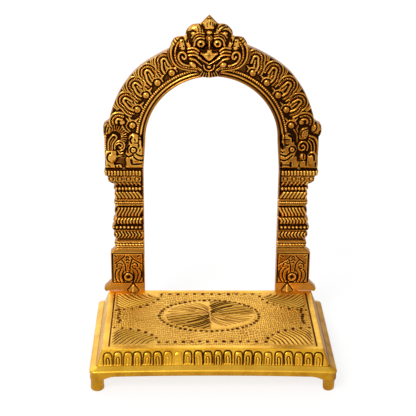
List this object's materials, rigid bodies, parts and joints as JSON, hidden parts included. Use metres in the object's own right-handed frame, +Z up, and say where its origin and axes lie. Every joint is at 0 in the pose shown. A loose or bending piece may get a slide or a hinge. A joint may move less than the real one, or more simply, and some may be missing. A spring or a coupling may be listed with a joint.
{
  "type": "prabhavali",
  "caption": "Brass shrine arch with a lion mask and ringed pillars, lifting off a low footed pedestal with a chased top on which an image stands.",
  "frame": {"origin": "middle of the pedestal's footprint, on the surface that it stands on", "axes": "+X to the viewer's right, +Y from the front to the back, +Z up"},
  "size_m": [0.179, 0.116, 0.2518],
  "materials": {
    "base_brass": "polished cast",
    "chased_brass": "chased and matted, polished",
    "arch_brass": "cast relief, dark patina in the recesses",
    "fixing_brass": "filed"
  },
  "bodies": {
    "base": {"base_frame": "base_brass", "top_plate": "chased_brass", "front_left_foot": "base_brass", "front_right_foot": "base_brass", "rear_left_foot": "base_brass", "rear_right_foot": "base_brass", "left_socket": "fixing_brass", "right_socket": "fixing_brass", "socket_rivets": "fixing_brass"},
    "arch": {"torana_arch": "arch_brass", "kirtimukha_mask": "arch_brass", "mask_rivets": "arch_brass", "left_pillar": "arch_brass", "right_pillar": "arch_brass", "pillar_dowels": "fixing_brass", "left_peg": "fixing_brass", "right_peg": "fixing_brass"}
  },
  "joints": [
    {"name": "arch_lift", "type": "slide", "parent": "base", "child": "arch", "axis": [0, 0, 1], "range_m": [0, 0.04]}
  ]
}
